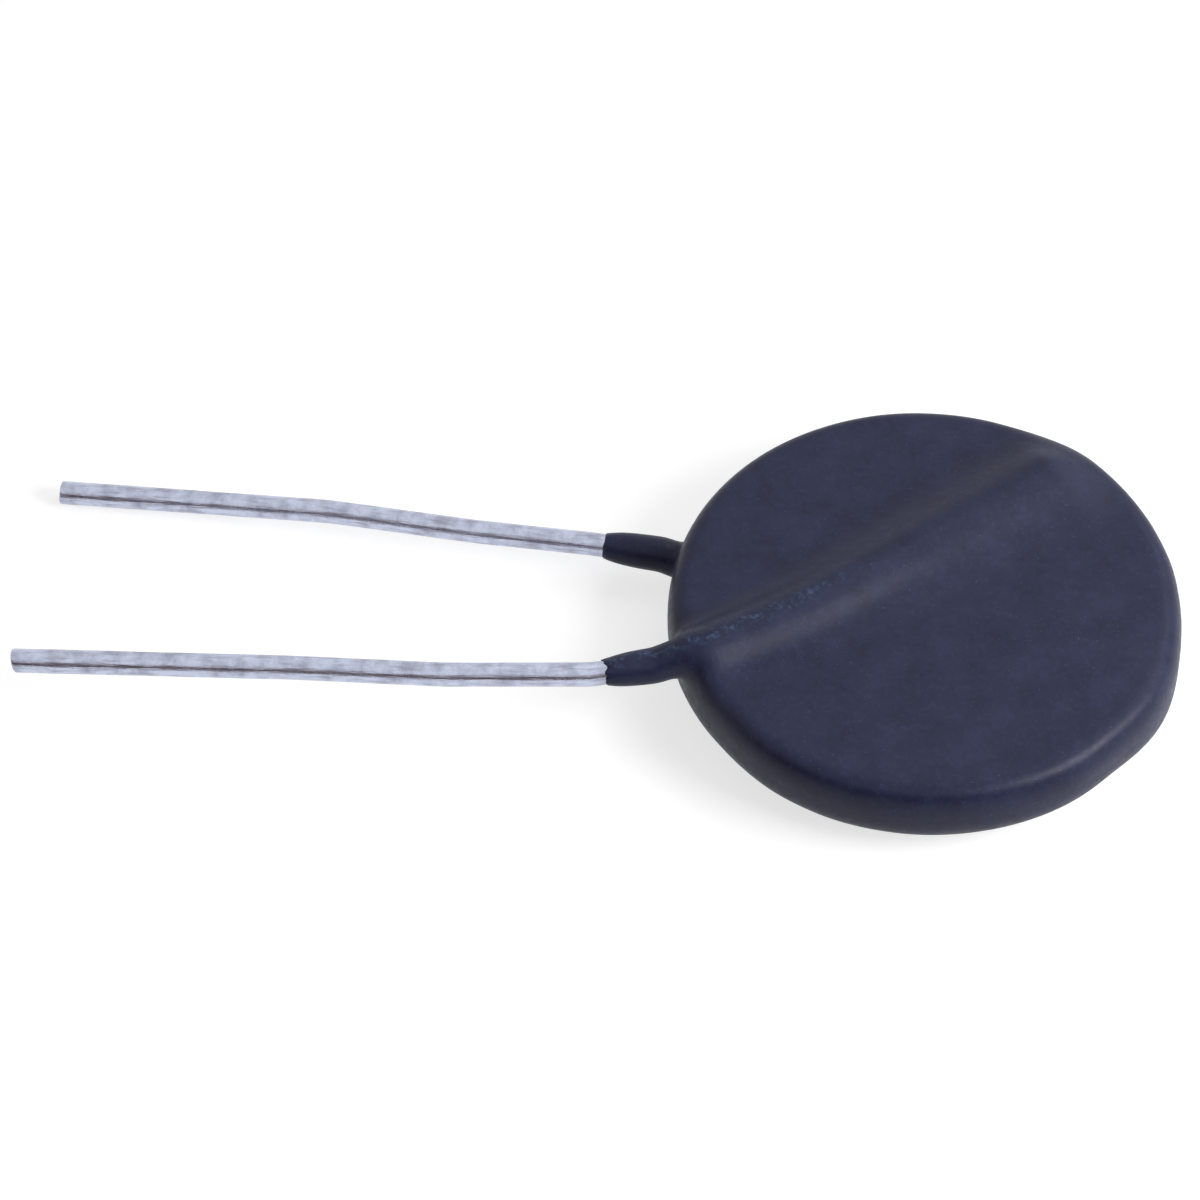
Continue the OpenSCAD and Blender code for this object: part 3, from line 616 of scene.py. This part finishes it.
def net(me, it):
    """All the columns of one side, the points of its line, and the number of the point where each ends."""
    a0 = azimuth(fillet_middle(me, 1))
    a1 = azimuth(fillet_middle(it, -1), a0)
    a2 = azimuth(fillet_middle(it, 1), a1)
    a3 = azimuth(fillet_middle(me, -1), a2)
    rim, gap = np.linspace(a0, a1, RIM + 1), np.linspace(a2, a3, GAP + 1)
    parts = [leg_columns(me, 1, False), fillet_columns(me, 1, False), rim_columns(rim),
             fillet_columns(it, -1, True), leg_columns(it, -1, True), leg_columns(it, 1, False),
             fillet_columns(it, 1, False), rim_columns(gap), fillet_columns(me, -1, True),
             leg_columns(me, -1, True)]
    start, way_in, share = (np.concatenate(x) for x in zip(*parts))

    late = me.fine > me.s_settle - 2
    s_root = np.interp(root_at(me), (me.xy @ me.out)[late], me.fine[late])
    j = np.arange(1, NODES - STATIONS + 1)
    along = s_root * (1 - j / (NODES - STATIONS))
    ridge = np.column_stack([*(np.interp(along, me.fine, me.xy[:, k]) for k in (0, 1)),
                             share_at(j) * me.height(root_at(me))])
    leg = lambda bead, t: np.column_stack([bead.foot + bead.out * t[:, None], bead.height(t)])
    over = np.arange(1, FILLETS + 1) / FILLETS
    under = leg(it, root_at(it) - OVER_EDGE * over)
    under[:, 2] = share_at(np.arange(1, FILLETS + 1)) * it.height(root_at(it))
    f = 1 - (1 - np.arange(1, CROSSING + 1)[:, None] / CROSSING) ** 1.3
    cross = mix(under[-1] * (1, 1, 0), ridge[BRANCH - STATIONS - 1] * (1, 1, 0), f)
    line = np.concatenate([leg(me, stations_of(me)), ridge, leg(it, stations_of(it)), under, cross])

    turn = azimuth(me.line[0], a0)
    back = NODES - BRANCH + CROSSING
    u = (rim - turn - FAN) / (a1 - turn - FAN) * (back - 0.5)
    home = np.where(u < NODES - BRANCH, np.round(NODES - u), np.round(JOIN - (u - NODES + BRANCH)))
    sweep = np.where(rim <= turn - FAN, mix(ROOT + 0.5, NODES, (rim - a0) / (turn - FAN - a0)),
                     np.where(rim < turn + FAN, NODES, home))
    g = np.round(0.5 + np.linspace(0, 1, GAP + 1) * (CROSSING + BRANCH - ROOT - 1))
    g = np.where(g < CROSSING, OTHER + ROOT + g, BRANCH - (g - CROSSING))
    r = np.arange(ROOT + 1)
    ends = np.concatenate([r, sweep, OTHER + r[::-1], OTHER + r, g, r[::-1]]).astype(float)
    return start, way_in, share, line, ends


def side_skin(me, it):
    """Skin points [column, ray] and the line's. A column's rays start on mix(m, q, closing), q its own start
    and m its end on the line, and rise by an angle that the share mixes from two laws."""
    start, way_in, share, line, ends = net(me, it)
    low = np.floor(ends).astype(int)
    m = mix(line[low], line[np.minimum(low + 1, len(line) - 1)], (ends - low)[:, None])[:, :2]
    k = np.arange(ROWS)
    u = np.minimum(1, (ROWS - k) / (ROWS - EDGE_ROWS))[None]
    even = np.minimum(1, FLANK / np.maximum(0.01, np.linalg.norm(start[:, :2] - m, axis=1)))[:, None]
    closing = mix(u ** 4, u, even)[..., None]
    q = mix(m[:, None], start[:, None, :2], closing)
    origin = np.concatenate([q, np.broadcast_to(start[:, None, 2:], q.shape[:2] + (1,))], -1)
    angle = np.pi / 2 * mix(np.minimum(1, k / EDGE_ROWS), k / ROWS, share[:, None])
    ray = np.concatenate([-way_in[:, None] * np.cos(angle)[..., None], np.sin(angle)[..., None]], -1)
    top = leave(line, np.tile([0.0, 0, 1], (len(line), 1)), [me, it])
    ids = np.round(ends).astype(int)
    return leave(origin, ray, [me, it]), top, np.where(ids == JOIN, BRANCH, ids)


# %% The skin as one closed mesh
def skin():
    """Both sides' points, sewn along the outline: the front's column i is the back's HALF_WAY - i."""
    front, front_line, front_ends = side_skin(*BEADS[FRONT])
    back, back_line, back_ends = side_skin(*BEADS[BACK])
    points = np.concatenate([front[:, 0], front[:, 1:].reshape(-1, 3), front_line,
                             back[:, 1:].reshape(-1, 3) * FLIP, back_line * FLIP])
    i = np.arange(COUNT)
    other = (HALF_WAY - i) % COUNT
    size = COUNT * (ROWS - 1) + len(front_line)
    faces = []
    for first, column, ends, turn in ((COUNT, i, front_ends, 1), (COUNT + size, other, back_ends, -1)):
        ids = np.empty((COUNT, ROWS + 1), int)
        ids[:, 0] = i
        ids[:, 1:ROWS] = first + column[:, None] * (ROWS - 1) + np.arange(ROWS - 1)
        ids[:, ROWS] = first + COUNT * (ROWS - 1) + ends[column]
        after = np.roll(ids, -1, 0)
        quads = np.stack([ids[:, :-1], after[:, :-1], after[:, 1:], ids[:, 1:]], -1).reshape(-1, 4)
        faces.append(quads[:, ::turn])
    quads = np.concatenate(faces)
    a, b, c, d = points[quads.T]
    cut = np.linalg.norm(a - c, axis=1) < np.linalg.norm(b - d, axis=1)
    two = np.where(cut[:, None, None], quads[:, [[0, 1, 2], [0, 2, 3]]], quads[:, [[0, 1, 3], [1, 2, 3]]])
    triangles = two.reshape(-1, 3)
    sound = ((triangles[:, 0] != triangles[:, 1]) & (triangles[:, 1] != triangles[:, 2])
             & (triangles[:, 0] != triangles[:, 2]))
    used, triangles = np.unique(triangles[sound], return_inverse=True)
    return points[used], triangles.reshape(-1, 3)


def relax(points, triangles, rounds, held):
    """Evens the net: each point moves half way to its neighbours' mean, then back on to the skin by one
    Newton step along the field's slope, p - f g / |g|^2."""
    pairs = np.concatenate([triangles[:, [0, 1]], triangles[:, [1, 2]], triangles[:, [2, 0]]])
    count = np.bincount(pairs[:, 0], minlength=len(points))
    free = ~held
    tiny = 1e-3
    for _ in range(rounds):
        mean = np.column_stack([np.bincount(pairs[:, 0], points[pairs[:, 1], k], len(points))
                                for k in range(3)])
        points[free] = mix(points, mean / count[:, None], 0.5)[free]
        p = points[free]
        f = field(p, BEADS[FRONT])
        g = np.column_stack([(field(p + tiny * axis, BEADS[FRONT]) - f) / tiny for axis in np.eye(3)])
        points[free] = p - g * (f / np.maximum((g * g).sum(1), 0.2))[:, None]
    return points


def normals(points, triangles):
    """Each point's mean face normal, weighted by the faces' areas."""
    a, b, c = points[triangles.T]
    n = np.cross(b - a, c - a)
    return unit(np.column_stack([np.bincount(triangles.ravel(), np.repeat(n[:, k], 3), len(points))
                                 for k in range(3)]))


HELD_END = 0.15          # mm of the sleeves' ends that relaxing leaves alone
ROUNDS = 5               # rounds of relaxing

skin_points, skin_faces = skin()
a, b, c = skin_points[skin_faces.T]
if (a * np.cross(b, c)).sum() < 0:
    skin_faces = skin_faces[:, ::-1]
ending = skin_points[:, 0] < -SLEEVE_REACH + HELD_END
cut_end = np.zeros(len(skin_points), bool)
for bead in BEADS[FRONT]:
    cut_end |= np.abs((skin_points[:, :2] - bead.foot) @ bead.out - bead.tip_t) < 1e-3
cap_faces = cut_end[skin_faces].all(1)
skin_points = relax(skin_points, skin_faces, ROUNDS, ending)
a, b, c = skin_points[skin_faces.T]
edges = np.sort(np.concatenate([skin_faces[:, [0, 1]], skin_faces[:, [1, 2]], skin_faces[:, [2, 0]]]), axis=1)
print("skin:", len(skin_faces), "triangles, volume mm3:", round(float((a * np.cross(b, c)).sum() / 6), 1),
      "edges not shared by two:", int((np.unique(edges, axis=0, return_counts=True)[1] != 2).sum()))

# %% [markdown]
# Resin that cures hanging from its wires doesn't end up perfectly even. Its thickness wanders by a hundredth
# of a millimetre or two in slow waves, and the coat breaks off unevenly where the front wire leaves it. Slow
# sums of sines push the skin along its normals, and the points of that end move along the wire by their angle
# round it.

# %% Waves and the broken end
WAVE_MM = 0.014          # height of the slow waves
WAVE_FADE = 1.2          # mm from the sleeves' ends over which the waves die out
CHIP_MM = 0.13, 0.026    # how far the front and the back sleeve's end wanders
CHIP_FADE = 0.35         # how far back from the end that is felt, mm
CHIP_TURNS = (0.5, 3, 0.6), (0.3, 7, 2.0), (0.2, 12, 4.0)   # each sine's height, turns and start
SLEEVE_ROOM = 1.2, 0.6   # mm across the leg and in from the end that hold a sleeve's end


def waves(p):
    """The mean of six sines of q = 2 pi p . k / L + c, with lengths L from 2 to 7 mm."""
    rng = np.random.default_rng(7)
    k = unit(rng.normal(size=(6, 3)))
    lengths = np.array([7.0, 5.6, 4.4, 3.4, 2.7, 2.1])
    return np.sin(2 * np.pi * (p @ k.T) / lengths + rng.uniform(0, 2 * np.pi, 6)).mean(-1)


end_share = smooth((-SLEEVE_REACH + WAVE_FADE - skin_points[:, 0]) / WAVE_FADE)
skin_points = skin_points + normals(skin_points, skin_faces) * (
    WAVE_MM * waves(skin_points) * (1 - end_share))[:, None]
for bead, amount in zip(BEADS[FRONT], CHIP_MM):
    t = skin_points[:, :2] @ bead.out
    across = (skin_points[:, :2] - bead.foot) @ bead.side
    angle = np.arctan2(skin_points[:, 2] - bead.up * LEG_HEIGHT, across)
    ragged = sum(a * np.sin(n * angle + c) for a, n, c in CHIP_TURNS)
    mine = (np.abs(across) < SLEEVE_ROOM[0]) & (skin_points[:, 0] < -SLEEVE_REACH + SLEEVE_ROOM[1])
    near_end = smooth((t - bead.tip_t + CHIP_FADE) / CHIP_FADE) * mine
    skin_points[:, :2] += bead.out * (amount * near_end * ragged)[:, None]
print("flat faces at the sleeves' ends:", int(cap_faces.sum()))


# %% Where the crests get a painted highlight
PAINTED_GLINT_WIDTH = 0.3         # half the width of the strip of painted highlight, mm
PAINTED_GLINT_TO, PAINTED_GLINT_FADE = -1.5, 4   # X where the strip ends and the length over which it fades, mm


def painted_glint_at(p):
    """The painted highlight's strength: e^-(d / w)^2 along each ridge's crest on its own side, d the distance
    in plan, fading along X.
    """
    total = 0
    for bead in BEADS[FRONT]:
        d, _ = nearest(bead.line * (1, 1, 0), p * (1, 1, 0))
        fade = smooth((PAINTED_GLINT_TO - p[:, 0]) / PAINTED_GLINT_FADE)
        total = total + np.exp(-(d / PAINTED_GLINT_WIDTH) ** 2) * (p[:, 2] * bead.up > LEG_HEIGHT) * fade
    return total


# Painted highlight: this strip along each ridge's crest is where the finish paints blue-grey flecks for the
# glints that the crest catches.
painted_glint = painted_glint_at(skin_points)
print("points on thin coat:", int((painted_glint > 0.5).sum()))

# %% [markdown]
# ## The resin's finish
# The coat is a dark slate-blue epoxy. It cures satin rather than glossy, because fine filler in it stands
# just proud of the skin: close up there is a faint orange peel and paler mottles where the filler gathers.
# Blue-grey flecks along each ridge's crest, strongest toward its leg, are a painted highlight for the glints
# that the crest catches. All the patterns read Object coordinates, which are metres here.

# %% Dipped epoxy
PEEL = 0.30              # size of the orange peel's cells, mm
MOTTLE = 1.5             # size of the mottles, mm
SPECK = 0.11             # size of a speck, mm; the real ones are finer, and wouldn't show
GLINT_FLECK = 0.35             # size of a fleck in the painted highlight on the crests, mm


def dipped_epoxy():
    """Satin, nearly black blue: peel in its relief, mottles and specks in its colour, a painted crest
    highlight.
    """
    made, tree, shader = material("slate blue epoxy, dipped")
    place = add(tree, "TexCoord").outputs["Object"]
    noise = lambda size, detail, rough: add(tree, "TexNoise", {
        "Vector": place, "Scale": 1 / (size * MM), "Detail": detail, "Roughness": rough}).outputs[0]
    mottle, peel, speck = noise(MOTTLE, 4.0, 0.6), noise(PEEL, 3.0, 0.55), noise(SPECK, 1.0, 0.5)
    cloud = add(tree, "MapRange", {"Value": mottle, "From Min": 0.35, "From Max": 0.68})
    body = add(tree, "Mix", {0: cloud.outputs[0], 6: linear("#1c1f38"), 7: linear("#262a46")},
               data_type="RGBA")
    grains = add(tree, "MapRange", {"Value": peel, "From Min": 0.50, "From Max": 0.74, "To Max": 0.35})
    body = add(tree, "Mix", {0: grains.outputs[0], 6: body.outputs[2], 7: linear("#333853")},
               data_type="RGBA")
    dots = add(tree, "MapRange", {"Value": speck, "From Min": 0.68, "From Max": 0.78, "To Max": 0.35})
    body = add(tree, "Mix", {0: dots.outputs[0], 6: body.outputs[2], 7: linear("#4a5f80")}, data_type="RGBA")
    # Painted highlight: blue-grey flecks on the strip along each ridge's crest stand in for the glints that
    # the crest catches.
    glint_flecks = add(tree, "MapRange", {"Value": noise(GLINT_FLECK, 4.0, 0.7), "From Min": 0.50, "From Max": 0.66,
                                    "To Max": 0.6})
    crest = add(tree, "Attribute", attribute_name="painted_glint")
    painted_glint_mix = add(tree, "Math", {0: glint_flecks.outputs[0], 1: crest.outputs["Fac"]}, operation="MULTIPLY")
    body = add(tree, "Mix", {0: painted_glint_mix.outputs[0], 6: body.outputs[2], 7: linear("#4f6689")}, data_type="RGBA")
    rough = add(tree, "MapRange", {"Value": peel, "From Min": 0.3, "From Max": 0.7,
                                   "To Min": 0.36, "To Max": 0.50})
    height = add(tree, "Math", {0: mottle, 1: 1.6, 2: peel}, operation="MULTIPLY_ADD")
    relief = add(tree, "Bump", {"Height": height.outputs[0], "Strength": 0.8, "Distance": 0.010 * MM})
    shader.inputs["IOR"].default_value = 1.52
    shader.inputs["Specular IOR Level"].default_value = 0.2   # the filler breaks up most of the gloss
    drive(tree, shader, body, rough, relief)
    return made


epoxy = dipped_epoxy()
piece("resin_skin", skin_points, skin_faces, epoxy, "resin_coating", flat=cap_faces, painted_glint=painted_glint)

# %% [markdown]
# ## The pieces inside
# The ceramic, its fired silver and the solder are out of sight under the coat, but the part can be taken
# apart, so each has its own finish. The solids keep their CAD shape and only take a material.

# %% Finishes for the inner solids
def inner(name, colours, size, roughness, metallic, relief_mm):
    """A finish with one noise of the given size in mm in its colour, roughness and relief."""
    made, tree, shader = material(name)
    place = add(tree, "TexCoord").outputs["Object"]
    grain = add(tree, "TexNoise", {"Vector": place, "Scale": 1 / (size * MM), "Detail": 5.0,
                                   "Roughness": 0.6})
    part = add(tree, "MapRange", {"Value": grain.outputs[0], "From Min": 0.35, "From Max": 0.65})
    tone = add(tree, "Mix", {0: part.outputs[0], 6: linear(colours[0]), 7: linear(colours[1])},
               data_type="RGBA")
    rough = add(tree, "MapRange", {"Value": grain.outputs[0], "From Min": 0.3, "From Max": 0.7,
                                   "To Min": roughness - 0.08, "To Max": roughness + 0.08})
    relief = add(tree, "Bump", {"Height": grain.outputs[0], "Strength": 0.7, "Distance": relief_mm * MM})
    shader.inputs["Metallic"].default_value = metallic
    drive(tree, shader, tone, rough, relief)
    return made


sintered = inner("manganese nickel oxide ceramic, sintered", ("#2e2d2f", "#434145"), 0.15, 0.7, 0.0, 0.008)
silver = inner("thick-film silver, fired", ("#d4d0c6", "#bdb9b0"), 0.12, 0.45, 1.0, 0.006)
solder = inner("tin solder, reflowed", ("#b9bcc4", "#9c9fa8"), 0.6, 0.28, 1.0, 0.015)
for node, finish in (("ceramic_disc", sintered), ("front_electrode", silver), ("back_electrode", silver),
                     ("front_solder", solder), ("back_solder", solder)):
    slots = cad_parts[node].material_slots
    for slot in slots:
        slot.material = finish
    if not slots:
        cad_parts[node].data.materials.append(finish)
    print(node, "is", finish.name)
